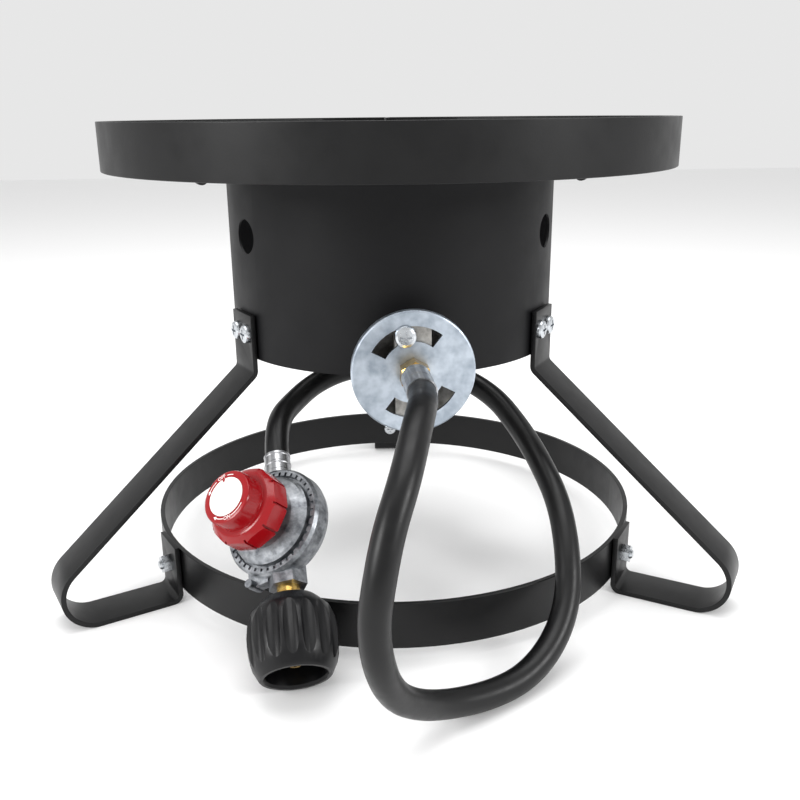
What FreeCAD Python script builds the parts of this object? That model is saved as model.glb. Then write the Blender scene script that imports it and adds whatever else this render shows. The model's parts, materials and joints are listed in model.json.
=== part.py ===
import FreeCAD, Part

# A propane outdoor cooker: hoop, wind shield, bent flat-bar legs, cast burner, hose and
# regulator. Millimetres; the origin is on the shield's axis at floor level, +Z is up, and
# the burner's air intake points along -Y.

import math
import os
import re

import Sketcher

Vector = FreeCAD.Vector
Rotation = FreeCAD.Rotation
Placement = FreeCAD.Placement

X, Y, Z = Vector(1, 0, 0), Vector(0, 1, 0), Vector(0, 0, 1)

SIZES = {
    # the flat bar of the hoop, the base ring, the legs and the pot supports
    "bar_wide": 28,
    "bar_thick": 3,
    "edge_round": 0.4,
    "seat_gap": 0.2,
    # top hoop, base ring and wind shield
    "hoop_radius": 178,
    "hoop_top": 289,
    "ring_radius": 163.6,
    "ring_bottom": 8.5,
    "shield_radius": 104.6,
    "shield_wall": 1.2,
    "shield_bottom": 149,
    "shield_top": 281,
    "vent_radius": 10.25,
    "vent_height": 223,
    "vent_azimuth": 89,
    "tube_notch_wide": 34,
    "tube_notch_top": 176,
    # legs
    "leg_azimuth": 86,
    "leg_tab_top": 176.6,
    "leg_knee": 140.1,
    "leg_reach": 268.4,
    "leg_nose_radius": 20,
    "leg_bend_radius": 5,
    "leg_lower_tab_top": 38,
    # pot supports
    "support_inner": 48,
    "support_lug_place": 127,
    "support_lug_radius": 4,
    # the screws at the legs' upper tabs
    "screw_radius": 2.5,
    "screw_hole": 0.25,
    "screw_height": 164.5,
    "screw_spacing": 14,
    "screw_length": 12,
    "screw_head_radius": 5.65,
    "screw_head_tall": 3.2,
    "screw_nut_flats": 8,
    "screw_nut_tall": 4,
    # the bolts at the legs' lower tabs
    "bolt_radius": 3,
    "bolt_height": 22.5,
    "bolt_length": 13,
    "bolt_head_radius": 5.2,
    "bolt_head_tall": 3,
    "bolt_nut_flats": 10,
    "bolt_nut_tall": 5,
    # burner casting
    "tube_height": 158,
    "tube_radius": 13,
    "tube_bore": 9.5,
    "mouth_radius": 31,
    "mouth_wall": 3.5,
    "mouth_end": 127,
    "mouth_deep": 17,
    "bridge_wide": 20,
    "bridge_thick": 9,
    "bowl_radius": 44,
    "bowl_wall": 4,
    "bowl_shoulder": 192,
    "bowl_top": 206,
    "post_radius": 5,
    "lug_reach": 45,
    "lug_root": 34,
    "lug_radius": 7.5,
    "lug_tall": 5.5,
    # burner cap
    "cap_thick": 4,
    "cap_port_radius": 1.6,
    "cap_port_circle": 33,
    # bracket that carries the casting
    "bracket_ring_inner": 34,
    "bracket_ring_outer": 52,
    "bracket_thick": 3,
    "bracket_arm_wide": 24,
    "bracket_level": 175.5,
    "bracket_tab_bottom": 158,
    # air shutter
    "disc_radius": 34.2,
    "disc_thick": 1.5,
    "disc_front": 129,
    "disc_lip": 5,
    "window_inner": 17.2,
    "window_outer": 25.8,
    "window_span": 100,
    "window_azimuth": 102.3,
    "lock_circle": 20.8,
    "lock_screw_radius": 2.45,
    "lock_head_radius": 5.95,
    "lock_head_tall": 2.9,
    "turn_gap": 0.08,
    # gas orifice and burner-end ferrule
    "orifice_radius": 4.9,
    "orifice_flats": 15,
    "orifice_hex_long": 10,
    "orifice_jet": 0.6,
    "gas_bore": 2,
    "ferrule_radius": 8,
    "ferrule_long": 26,
    "ferrule_cover": 9.5,
    "short_ferrule_long": 14,
    "short_ferrule_cover": 9,
    "hose_radius": 7.3,
    "hose_straight": 18,
    # regulator: inlet axis through its body, and the knob axis square to it
    "regulator_x": -75,
    "regulator_y": -123.6,
    "regulator_azimuth": 94.8,
    "regulator_tilt": 54,
    "regulator_roll": 36.8,
    "floor_gap": 0.1,
    "body_radius": 31.5,
    "body_back": 13,
    "body_ledge": 5,
    "body_rim_top": 11.5,
    "body_socket": 27.3,
    "chamber_radius": 21,
    "notch_count": 40,
    "inlet_flats": 19,
    "inlet_reach": 37.3,
    "outlet_radius": 7,
    "outlet_reach": 33.5,
    "bonnet_top": 20,
    "bonnet_hub_radius": 9,
    "bonnet_hub_top": 23.5,
    "spring_radius": 7.5,
    "spring_wire": 0.7,
    "stem_radius": 4,
    "knob_back": 25,
    "knob_flats_radius": 22.6,
    "knob_lobes": 10,
    "knob_skirt_top": 39,
    "knob_boss_radius": 15.3,
    "knob_top": 50,
    "knob_wall": 2.4,
    "label_radius": 11,
    "label_thick": 0.6,
    # tank nut and brass nipple, measured from the nut's mouth
    "mouth_distance": 87.3,
    "nut_long": 42,
    "nut_rim_radius": 19.5,
    "nut_waist_radius": 24.3,
    "nut_top_radius": 15,
    "nut_cavity": 16,
    "nut_floor": 6,
    "nut_flutes": 16,
    "flute_radius": 4.4,
    "flute_depth": 2.6,
    "nipple_neck": 6.45,
    "nipple_nose": 4.5,
    "nipple_tip": 6,
    "nipple_collar": 9.5,
    "nipple_bore": 1.7,
}

# The hose's route: its ends are worked out from the burner and the regulator.
HOSE_MIDDLE = [
    (-4, -196, 159.5),
    (-10, -219, 154),
    (-16.5, -239, 142.5),
    (-25, -253, 125),
    (-30, -261, 106),
    (-33, -262, 86),
    (-31, -260, 66),
    (-26, -252, 47),
    (-17, -241, 31),
    (1, -224, 15),
    (29, -209, 7.6),
    (52, -196, 8.2),
    (71, -179, 17),
    (83, -161, 32),
    (87, -142, 52),
    (88, -117, 71),
    (84, -83, 85),
    (78, -51, 96),
    (66, -26, 110),
    (44, -6, 120),
    (17, 5, 124),
    (-10, 5, 126),
    (-35, -3, 125),
    (-55, -17, 120),
    (-68, -35, 114),
    (-77, -57, 110.5),
]

FUNCTIONS = {"sin", "cos", "tan", "sqrt"}

doc = FreeCAD.newDocument("Cooker")
sheet = doc.addObject("Spreadsheet::Sheet", "Sizes")
for row, (alias, size) in enumerate(SIZES.items(), 1):
    sheet.set(f"A{row}", alias.replace("_", " "))
    sheet.set(f"B{row}", str(size))
    sheet.setAlias(f"B{row}", alias)
doc.recompute()

sub_parts = []


def linked(text):
    """The expression with the sheet's name put before each of its cells."""
    def word(found):
        return found.group() if found.group() in FUNCTIONS else "Sizes." + found.group()
    return re.sub(r"[a-z][a-z_]+", word, text)


def value(text):
    """What an expression in the sheet's cells comes to."""
    return float(sheet.evalExpression(linked(text)))


def bind(thing, **links):
    """Tie properties of an object to expressions in the sheet's cells."""
    for name, text in links.items():
        thing.setExpression(name, linked(text))
    return thing


def put(thing, at=("0", "0", "0"), turn=Rotation()):
    """Place an object at a point given by three expressions."""
    thing.Placement = Placement(Vector(*(value(text) for text in at)), turn)
    for letter, text in zip("xyz", at):
        thing.setExpression(f"Placement.Base.{letter}", linked(text))
    return thing


def primitive(kind, at=("0", "0", "0"), turn=Rotation(), **links):
    made = doc.addObject("Part::" + kind, kind)
    return put(bind(made, **links), at, turn)


def cylinder(radius, height, at=("0", "0", "0"), turn=Rotation(), span="360"):
    return primitive("Cylinder", at, turn, Radius=radius, Height=height, Angle=span)


def box(length, width, height, at):
    return primitive("Box", at, Length=length, Width=width, Height=height)


def hexagon(flats, height, at=("0", "0", "0"), turn=Rotation()):
    made = primitive("Prism", at, turn, Circumradius=f"({flats}) / sqrt(3)", Height=height)
    made.Polygon = 6
    return made


def fused(*shapes):
    made = doc.addObject("Part::MultiFuse", "Fused")
    made.Shapes = list(shapes)
    return made


def cut(base, *tools):
    made = doc.addObject("Part::Cut", "Cut")
    made.Base = base
    made.Tool = tools[0] if len(tools) == 1 else fused(*tools)
    return made


def group(*shapes):
    """Separate solids kept side by side as one object."""
    made = doc.addObject("Part::Compound", "Group")
    made.Links = list(shapes)
    return made


def copy(of, at=("0", "0", "0"), turn=Rotation()):
    made = doc.addObject("App::Link", "Copy")
    made.LinkedObject = of
    made.LinkTransform = True
    return put(made, at, turn)


def turned_about_z(of, azimuth):
    """A copy of an object, turned about the row's own Z axis."""
    made = copy(of, turn=Rotation(Z, 1))
    made.setExpression("Placement.Rotation.Angle", linked(azimuth))
    return made


def around(of, count, first="0"):
    """Copies of an object spaced evenly about Z."""
    return [turned_about_z(of, f"{first} + {360 * i / count}") for i in range(count)]


def named(thing, label):
    thing.Label = label
    sub_parts.append(thing)
    return thing


def new_body():
    return doc.addObject("PartDesign::Body", "Body")


def new_sketch(body, plane, offset=None):
    """A sketch on one of the body's own origin planes."""
    found = [feature for feature in body.Origin.OriginFeatures if feature.Role == plane][0]
    sketch = body.newObject("Sketcher::SketchObject", "Sketch")
    sketch.AttachmentSupport = [(found, "")]
    sketch.MapMode = "FlatFace"
    if offset:
        sketch.setExpression("AttachmentOffset.Base.z", linked(offset))
    return sketch


def fix_point(sketch, geometry, end, across, up):
    """Hold a sketch point at a place given by two expressions."""
    for kind, text in (("DistanceX", across), ("DistanceY", up)):
        number = sketch.addConstraint(Sketcher.Constraint(kind, -1, 1, geometry, end, value(text)))
        sketch.setExpression(f"Constraints[{number}]", linked(text))


def closed_outline(sketch, corners):
    """A closed outline of straight lines through corners given by expressions."""
    at = [Vector(value(across), value(up), 0) for across, up in corners]
    count = len(corners)
    for i in range(count):
        sketch.addGeometry(Part.LineSegment(at[i], at[(i + 1) % count]))
    for i in range(count):
        sketch.addConstraint(Sketcher.Constraint("Coincident", i, 2, (i + 1) % count, 1))
    for i, (across, up) in enumerate(corners):
        fix_point(sketch, i, 1, across, up)


def turned(corners):
    """A solid turned about the Z axis from an outline of (radius, height) corners."""
    body = new_body()
    sketch = new_sketch(body, "XZ_Plane")
    closed_outline(sketch, corners)
    feature = body.newObject("PartDesign::Revolution", "Turned")
    feature.Profile = sketch
    feature.ReferenceAxis = (sketch, ["V_Axis"])
    feature.Angle = 360
    body.Tip = feature
    return body


def ring(outer, wall, bottom, height):
    """A flat bar rolled to a ring, with its four long edges eased."""
    rolled = cut(
        cylinder(outer, height, ("0", "0", bottom)),
        cylinder(f"{outer} - {wall}", f"{height} + 2", ("0", "0", f"{bottom} - 1")),
    )
    return eased(rolled, "edge_round")


def eased(thing, radius):
    """Round an object's full-circle edges."""
    doc.recompute()
    made = doc.addObject("Part::Fillet", "Eased")
    made.Base = thing
    made.Edges = [
        (number, value(radius), value(radius))
        for number, edge in enumerate(thing.Shape.Edges, 1)
        if isinstance(edge.Curve, Part.Circle) and edge.isClosed()
    ]
    return made


def bent_path(sketch, corners, radii):
    """An open line through corners, with a tangent arc at each inner one."""
    at = [Vector(value(across), value(up), 0) for across, up in corners]
    starts, ends, arcs = [at[0]], [], []
    for i, radius in enumerate(radii, 1):
        back = (at[i - 1] - at[i]).normalize()
        ahead = (at[i + 1] - at[i]).normalize()
        half = back.getAngle(ahead) / 2
        reach = value(radius) / math.tan(half)
        bisector = (back + ahead).normalize()
        centre = at[i] + bisector * (value(radius) / math.sin(half))
        middle = centre - bisector * value(radius)
        ends.append(at[i] + back * reach)
        starts.append(at[i] + ahead * reach)
        arcs.append(Part.Arc(ends[-1], middle, starts[-1]))
    ends.append(at[-1])
    for i, arc in enumerate(arcs):
        sketch.addGeometry(Part.LineSegment(starts[i], ends[i]))
        sketch.addGeometry(arc)
    sketch.addGeometry(Part.LineSegment(starts[-1], ends[-1]))
    for i, radius in enumerate(radii):
        line, arc, after = 2 * i, 2 * i + 1, 2 * i + 2
        turns_left = (at[i + 1] - at[i]).cross(at[i + 2] - at[i + 1]).z > 0
        first, last = (1, 2) if turns_left else (2, 1)
        sketch.addConstraint(Sketcher.Constraint("Tangent", line, 2, arc, first))
        sketch.addConstraint(Sketcher.Constraint("Tangent", arc, last, after, 1))
        number = sketch.addConstraint(Sketcher.Constraint("Radius", arc, value(radius)))
        sketch.setExpression(f"Constraints[{number}]", linked(radius))
    for i, (across, up) in enumerate(corners[1:-1], 1):
        corner = sketch.addGeometry(Part.Point(at[i]), True)
        fix_point(sketch, corner, 1, across, up)
        sketch.addConstraint(Sketcher.Constraint("PointOnObject", corner, 1, 2 * i - 2))
        sketch.addConstraint(Sketcher.Constraint("PointOnObject", corner, 1, 2 * i))
    last_line = 2 * len(radii)
    fix_point(sketch, 0, 1, *corners[0])
    fix_point(sketch, last_line, 2, *corners[-1])
    return [f"Edge{number}" for number in range(1, last_line + 2)]


def bent_bar(corners, radii, wide, thick):
    """A flat bar bent along a path in the XZ plane whose first run is upright."""
    body = new_body()
    path = new_sketch(body, "XZ_Plane")
    edges = bent_path(path, corners, radii)
    section = new_sketch(body, "XY_Plane", offset=corners[0][1])
    half = f"({wide}) / 2"
    inner, outer = f"{corners[0][0]} - {thick} / 2", f"{corners[0][0]} + {thick} / 2"
    closed_outline(section, [(inner, f"-{half}"), (outer, f"-{half}"), (outer, half), (inner, half)])
    doc.recompute()
    feature = body.newObject("PartDesign::AdditivePipe", "Bent")
    feature.Profile = section
    feature.Spine = (path, edges)
    body.Tip = feature
    return body


def pan_screw(radius, length, head_radius, head_tall, recess):
    """A pan-head screw along Z, its head above the origin and a cross recess in it."""
    solid = turned([
        ("0", f"-({length})"),
        (f"{radius} * 0.8", f"-({length})"),
        (radius, f"{radius} * 0.4 - ({length})"),
        (radius, "0"),
        (head_radius, "0"),
        (head_radius, f"{head_tall} * 0.45"),
        (f"{head_radius} * 0.93", f"{head_tall} * 0.75"),
        (f"{head_radius} * 0.72", f"{head_tall} * 0.95"),
        (f"{head_radius} * 0.4", head_tall),
        ("0", head_tall),
    ])
    slot, deep = f"{head_radius} * 0.22", f"{head_tall} * 0.55"
    reach = f"{head_radius} * 1.1"
    arms = [
        box(reach, slot, recess, (f"-{reach} / 2", f"-{slot} / 2", deep)),
        box(slot, reach, recess, (f"-{slot} / 2", f"-{reach} / 2", deep)),
    ]
    return cut(solid, *arms)


def hex_nut(flats, tall, bore):
    """A hexagonal nut standing on the XY plane."""
    return cut(hexagon(flats, tall), cylinder(bore, f"{tall} + 2", ("0", "0", "-1")))


# Directions that a piece modelled along +Z is turned to.
FACE_OUT = Rotation(Y, 90)
FACE_FRONT = Rotation(X, 90)

# ---------------------------------------------------------------- hoop, ring and shield

HOOP_BOTTOM = "(hoop_top - bar_wide)"
LEG_NAMES = ("leg_1", "leg_2", "leg_3")
LEG_TURNS = [f"leg_azimuth + {120 * i}" for i in range(3)]
TAB_CENTRE = "(shield_radius + seat_gap + bar_thick / 2)"
LOWER_TAB_CENTRE = "(ring_radius + seat_gap + bar_thick / 2)"

named(ring("hoop_radius", "bar_thick", HOOP_BOTTOM, "bar_wide"), "top_hoop")


def radial_hole(radius, height, inner, outer, aside="0"):
    """A drill along +X at a height, from one radius to another."""
    return cylinder(radius, f"{outer} - ({inner})", (inner, aside, height), FACE_OUT)


def screw_drills(inner, outer):
    """Drills for the two screws of a leg's upper tab, at azimuth 0."""
    radius = "screw_radius + screw_hole"
    return [
        radial_hole(radius, "screw_height", inner, outer, f"{side} * screw_spacing / 2")
        for side in (1, -1)
    ]


shield_blank = cut(
    cylinder("shield_radius", "shield_top - shield_bottom", ("0", "0", "shield_bottom")),
    cylinder("shield_radius - shield_wall", "shield_top - shield_bottom + 2",
             ("0", "0", "shield_bottom - 1")),
)
vent = radial_hole("vent_radius", "vent_height", "shield_radius - 12", "shield_radius + 6")
tab_drills = fused(*screw_drills("shield_radius - 12", "shield_radius + 6"))
support_slot = box("24", "bar_thick + 2 * seat_gap", "bar_wide + 2",
                   ("shield_radius - 12", "-bar_thick / 2 - seat_gap", f"{HOOP_BOTTOM} - seat_gap"))
notch_height = "(tube_notch_top - tube_notch_wide / 2 - shield_bottom)"
tube_notch = fused(
    box("tube_notch_wide", "30", f"{notch_height} + 2",
        ("-tube_notch_wide / 2", "-shield_radius - 15", "shield_bottom - 2")),
    cylinder("tube_notch_wide / 2", "30",
             ("0", "-shield_radius + 15", "tube_notch_top - tube_notch_wide / 2"), FACE_FRONT),
)
shield_cuts = around(vent, 3, "vent_azimuth")
shield_cuts += around(tab_drills, 3, "leg_azimuth") + around(support_slot, 3, "leg_azimuth")
named(cut(shield_blank, tube_notch, *shield_cuts), "wind_shield")


def bolt_drill(inner, outer):
    """A drill for the bolt of a leg's lower tab, at azimuth 0."""
    return radial_hole("bolt_radius + screw_hole", "bolt_height", inner, outer)


ring_blank = ring("ring_radius", "bar_thick", "ring_bottom", "bar_wide")
ring_drill = bolt_drill("ring_radius - 10", "ring_radius + 10")
named(cut(ring_blank, *around(ring_drill, 3, "leg_azimuth")), "base_ring")

# ---------------------------------------------------------------- legs

leg_blank = bent_bar(
    [
        (TAB_CENTRE, "leg_tab_top"),
        (TAB_CENTRE, "leg_knee"),
        ("leg_reach", "bar_thick / 2"),
        (LOWER_TAB_CENTRE, "bar_thick / 2"),
        (LOWER_TAB_CENTRE, "leg_lower_tab_top"),
    ],
    ["leg_bend_radius", "leg_nose_radius", "leg_bend_radius"],
    "bar_wide", "bar_thick",
)
leg = cut(
    leg_blank,
    *screw_drills(f"{TAB_CENTRE} - 8", f"{TAB_CENTRE} + 8"),
    bolt_drill(f"{LOWER_TAB_CENTRE} - 6", f"{LOWER_TAB_CENTRE} + 6"),
)
for label, turn in zip(LEG_NAMES, LEG_TURNS):
    named(turned_about_z(leg, turn), label)

leg_screw = pan_screw("screw_radius", "screw_length", "screw_head_radius", "screw_head_tall", "4")
leg_nut = hex_nut("screw_nut_flats", "screw_nut_tall", "screw_radius + 0.02")
tab_outside = "(shield_radius + seat_gap + bar_thick)"
tab_inside = "(shield_radius - shield_wall - seat_gap - bracket_thick)"
screw_pair, nut_pair = [], []
for side in (1, -1):
    aside = f"{side} * screw_spacing / 2"
    screw_pair.append(copy(leg_screw, (f"{tab_outside} + 0.05", aside, "screw_height"), FACE_OUT))
    nut_pair.append(copy(leg_nut, (f"{tab_inside} - screw_nut_tall - 0.6", aside, "screw_height"),
                         FACE_OUT))
named(group(*around(group(*screw_pair), 3, "leg_azimuth")), "leg_screws")
named(group(*around(group(*nut_pair), 3, "leg_azimuth")), "leg_screw_nuts")

ring_bolt = pan_screw("bolt_radius", "bolt_length", "bolt_head_radius", "bolt_head_tall", "4")
ring_nut = hex_nut("bolt_nut_flats", "bolt_nut_tall", "bolt_radius + 0.02")
ring_bolt_placed = copy(ring_bolt, ("ring_radius - bar_thick - 0.15", "0", "bolt_height"),
                        Rotation(Y, -90))
ring_nut_placed = copy(ring_nut, (f"{LOWER_TAB_CENTRE} + bar_thick / 2 + 0.05", "0", "bolt_height"),
                       FACE_OUT)
named(group(*around(ring_bolt_placed, 3, "leg_azimuth")), "ring_bolts")
named(group(*around(ring_nut_placed, 3, "leg_azimuth")), "ring_bolt_nuts")

# ---------------------------------------------------------------- pot supports

support_outer = "(hoop_radius - bar_thick - seat_gap)"
support_bar = box(f"{support_outer} - support_inner", "bar_thick", "bar_wide",
                  ("support_inner", "-bar_thick / 2", HOOP_BOTTOM))
support_lug = cylinder("support_lug_radius", "bar_thick",
                       ("support_lug_place", "bar_thick / 2", f"{HOOP_BOTTOM} - 3.4"), FACE_FRONT)
lug_neck = box("2 * support_lug_radius", "bar_thick", "4",
               ("support_lug_place - support_lug_radius", "-bar_thick / 2", f"{HOOP_BOTTOM} - 3.4"))
corner_cut = box("18", "bar_thick + 2", "18", ("support_inner - 9", "-bar_thick / 2 - 1",
                                               f"{HOOP_BOTTOM} - 9"))
support = cut(fused(support_bar, support_lug, lug_neck), corner_cut)
for number, turn in enumerate(LEG_TURNS, 1):
    named(turned_about_z(support, turn), f"pot_support_{number}")

# ---------------------------------------------------------------- burner bracket

bracket_plate = cut(
    cylinder("bracket_ring_outer", "bracket_thick", ("0", "0", "bracket_level")),
    cylinder("bracket_ring_inner", "bracket_thick + 2", ("0", "0", "bracket_level - 1")),
)
arm_outer = "(shield_radius - shield_wall - seat_gap)"
arm = fused(
    box(f"{arm_outer} - (bracket_ring_outer - 4)", "bracket_arm_wide", "bracket_thick",
        ("bracket_ring_outer - 4", "-bracket_arm_wide / 2", "bracket_level")),
    box("bracket_thick", "bracket_arm_wide", "bracket_level - bracket_tab_bottom + 0.5",
        (f"{arm_outer} - bracket_thick", "-bracket_arm_wide / 2", "bracket_tab_bottom")),
)
arm_trim = cut(
    cylinder("shield_radius + 30", "60", ("0", "0", "bracket_tab_bottom - 20")),
    cylinder("shield_radius - shield_wall - seat_gap / 2", "62",
             ("0", "0", "bracket_tab_bottom - 21")),
)
lug_drills = [
    cylinder("screw_radius + screw_hole", "20", (f"{side} * lug_reach", "0", "bracket_level - 6"))
    for side in (1, -1)
]
bracket_drills = fused(*screw_drills("shield_radius - 12", "shield_radius + 6"))
named(
    cut(
        fused(bracket_plate, *around(arm, 3, "leg_azimuth")),
        arm_trim, *around(bracket_drills, 3, "leg_azimuth"), *lug_drills,
    ),
    "burner_bracket",
)

# ---------------------------------------------------------------- burner casting

LUG_BOTTOM = "(bracket_level + bracket_thick + seat_gap)"
bowl_outer = turned([
    ("0", "tube_height - tube_radius"),
    ("tube_radius * 0.7", "tube_height - tube_radius"),
    ("tube_radius", "tube_height - tube_radius * 0.7"),
    ("tube_radius + 1", "tube_height + 2"),
    ("bowl_radius", "bowl_shoulder"),
    ("bowl_radius", "bowl_top"),
    ("0", "bowl_top"),
])
bowl_inner = turned([
    ("0", "tube_height - tube_bore"),
    ("tube_bore", "tube_height - tube_bore"),
    ("tube_bore + 1", "tube_height + 4"),
    ("bowl_radius - bowl_wall", "bowl_shoulder + 1"),
    ("bowl_radius - bowl_wall", "bowl_top + 2"),
    ("0", "bowl_top + 2"),
])
tube_profile = turned([
    ("0", "0"),
    ("tube_radius", "0"),
    ("tube_radius", "mouth_end - mouth_deep - 4"),
    ("mouth_radius", "mouth_end - mouth_deep + 10"),
    ("mouth_radius", "mouth_end"),
    ("0", "mouth_end"),
])
tube_hollow = turned([
    ("0", "0"),
    ("tube_bore", "0"),
    ("tube_bore", "mouth_end - mouth_deep"),
    ("mouth_radius - mouth_wall", "mouth_end - mouth_deep + 12"),
    ("mouth_radius - mouth_wall", "mouth_end + 2"),
    ("0", "mouth_end + 2"),
])
AXIS_START = ("0", "0", "tube_height")
post = cylinder("post_radius", "bowl_top - tube_height + tube_bore - 3",
                ("0", "0", "tube_height - tube_bore - 1"))
lugs = [
    fused(
        cylinder("lug_radius", "lug_tall", (f"{side} * lug_reach", "0", LUG_BOTTOM)),
        box("lug_reach - lug_root", "2 * lug_radius", "lug_tall",
            (f"{side} * (lug_reach + lug_root) / 2 - (lug_reach - lug_root) / 2", "-lug_radius", LUG_BOTTOM)),
    )
    for side in (1, -1)
]
shell = cut(
    fused(bowl_outer, copy(tube_profile, AXIS_START, FACE_FRONT), *lugs),
    bowl_inner, copy(tube_hollow, AXIS_START, FACE_FRONT),
)
bridge_box = box("bridge_wide", "bridge_thick", "2 * mouth_radius",
                 ("-bridge_wide / 2", "-mouth_end", "tube_height - mouth_radius"))
bridge_limit = cylinder("mouth_radius - 0.5", "bridge_thick + 2",
                        ("0", "-mouth_end + bridge_thick + 1", "tube_height"), FACE_FRONT)
bridge = doc.addObject("Part::MultiCommon", "Bridge")
bridge.Shapes = [bridge_box, bridge_limit]
LOCK_PLACE = ("lock_circle * cos(window_azimuth)", "-mouth_end + bridge_thick + 2",
              "tube_height + lock_circle * sin(window_azimuth)")
lock_bore = cylinder("lock_screw_radius + 0.05", "bridge_thick + 6", LOCK_PLACE, FACE_FRONT)
orifice_bore = cylinder("orifice_radius + 0.05", "bridge_thick + 6",
                        ("0", "-mouth_end + bridge_thick + 2", "tube_height"), FACE_FRONT)
cap_bore = cylinder("screw_radius + 0.05", "16", ("0", "0", "bowl_top - 14"))
named(cut(fused(shell, post, bridge), lock_bore, orifice_bore, cap_bore, *lug_drills),
      "burner_casting")

lug_top = f"({LUG_BOTTOM} + lug_tall)"
lug_bolt = pan_screw("screw_radius", "lug_tall + bracket_thick + seat_gap + 6",
                     "screw_head_radius * 0.85", "screw_head_tall", "4")
lug_nut = hex_nut("screw_nut_flats", "screw_nut_tall", "screw_radius + 0.02")
named(group(*[copy(lug_bolt, (f"{side} * lug_reach", "0", f"{lug_top} + 0.05"))
              for side in (1, -1)]), "burner_bolts")
named(group(*[copy(lug_nut, (f"{side} * lug_reach", "0", "bracket_level - screw_nut_tall - 0.1"))
              for side in (1, -1)]), "burner_bolt_nuts")

cap_blank = turned([
    ("screw_radius + 0.3", "bowl_top + 0.1"),
    ("bowl_radius", "bowl_top + 0.1"),
    ("bowl_radius", "bowl_top + cap_thick * 0.5"),
    ("bowl_radius - 8", "bowl_top + cap_thick + 1.5"),
    ("14", "bowl_top + cap_thick + 3"),
    ("screw_radius + 0.3", "bowl_top + cap_thick + 3"),
])
port = cylinder("cap_port_radius", "20", ("cap_port_circle", "0", "bowl_top - 4"))
inner_port = cylinder("cap_port_radius", "20", ("cap_port_circle - 11", "0", "bowl_top - 4"))
named(cut(cap_blank, group(*around(port, 24), *around(inner_port, 12, "7"))), "burner_cap")
cap_screw = pan_screw("screw_radius", "cap_thick + 12", "screw_head_radius", "screw_head_tall", "4")
named(copy(cap_screw, ("0", "0", "bowl_top + cap_thick + 3.05")), "burner_cap_screw")

# ---------------------------------------------------------------- air shutter and orifice

disc_blank = turned([
    ("orifice_radius + turn_gap", "disc_front - disc_thick"),
    ("disc_radius - 1.4", "disc_front - disc_thick"),
    ("disc_radius - 1.4", "disc_front - disc_lip"),
    ("disc_radius", "disc_front - disc_lip"),
    ("disc_radius", "disc_front - 0.9"),
    ("disc_radius - 0.3", "disc_front - 0.3"),
    ("disc_radius - 0.9", "disc_front"),
    ("orifice_radius + turn_gap", "disc_front"),
])
windows = []
for opposite in (0, 180):
    sector = cut(
        cylinder("window_outer", "disc_thick + 4", ("0", "0", "disc_front - disc_thick - 2"),
                 span="window_span"),
        cylinder("window_inner", "disc_thick + 6", ("0", "0", "disc_front - disc_thick - 3")),
    )
    windows.append(turned_about_z(sector, f"window_azimuth - window_span / 2 + {opposite}"))
named(copy(cut(disc_blank, *windows), AXIS_START, FACE_FRONT), "air_shutter")

lock_screw = pan_screw("lock_screw_radius", "bridge_thick + 1", "lock_head_radius", "lock_head_tall", "4")
named(copy(lock_screw, (LOCK_PLACE[0], "-disc_front - 0.35", LOCK_PLACE[2]), FACE_FRONT),
      "shutter_lock_screw")

hex_back = "(disc_front + 0.3)"
hex_front = f"({hex_back} + orifice_hex_long)"
FERRULE_BACK = f"({hex_front} + 1)"
orifice_blank = fused(
    cylinder("orifice_radius", f"{hex_back} - mouth_end + bridge_thick + 3",
             ("0", "0", "mouth_end - bridge_thick - 3")),
    hexagon("orifice_flats", "orifice_hex_long", ("0", "0", hex_back), Rotation(Z, 30)),
    cylinder("orifice_radius * 0.9", "5", ("0", "0", hex_front)),
)
hex_ease = turned([
    ("0", "0"),
    ("orifice_flats * 0.6", "0"),
    ("orifice_flats * 0.6", f"{hex_front} - 1.2"),
    ("orifice_flats * 0.5", hex_front),
    ("orifice_flats * 0.5", f"{hex_front} + 6"),
    ("0", f"{hex_front} + 6"),
])
orifice_shape = doc.addObject("Part::MultiCommon", "Orifice")
orifice_shape.Shapes = [orifice_blank, hex_ease]
orifice = cut(
    orifice_shape,
    cylinder("gas_bore", "40", ("0", "0", "mouth_end - bridge_thick")),
    cylinder("orifice_jet", "20", ("0", "0", "mouth_end - bridge_thick - 8")),
)
named(copy(orifice, AXIS_START, FACE_FRONT), "gas_orifice")


def ferrule(long, cover):
    """A crimped sleeve along +Z, closed at its back but for the gas way."""
    crimp, way = "ferrule_radius * 0.96", "orifice_radius * 0.9 + 0.05"
    return turned([
        (way, "0"),
        ("ferrule_radius", "0"),
        ("ferrule_radius", f"{long} * 0.14"),
        (crimp, f"{long} * 0.18"),
        (crimp, f"{long} * 0.44"),
        ("ferrule_radius", f"{long} * 0.48"),
        ("ferrule_radius", f"{long} * 0.54"),
        (crimp, f"{long} * 0.58"),
        (crimp, f"{long} * 0.86"),
        ("ferrule_radius", f"{long} * 0.9"),
        ("ferrule_radius", long),
        ("hose_radius", long),
        ("hose_radius", f"{long} - {cover}"),
        (way, f"{long} - {cover}"),
    ])


burner_ferrule = copy(ferrule("ferrule_long", "ferrule_cover"),
                      ("0", f"-{FERRULE_BACK}", "tube_height"), FACE_FRONT)
named(burner_ferrule, "hose_ferrule_burner")

# ---------------------------------------------------------------- regulator

# Every regulator piece is drawn with its inlet axis along X and its knob axis along Z.
REGULATOR_TURN = (
    Rotation(Z, value("regulator_azimuth"))
    * Rotation(Y, value("regulator_tilt") - 90)
    * Rotation(X, -value("regulator_roll"))
)
RIM_HEIGHT = "(nut_rim_radius * sin(regulator_tilt) + floor_gap)"
REGULATOR_PLACE = ("regulator_x", "regulator_y",
                   f"{RIM_HEIGHT} + mouth_distance * cos(regulator_tilt)")
ALONG = Rotation(Y, 90)


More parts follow.
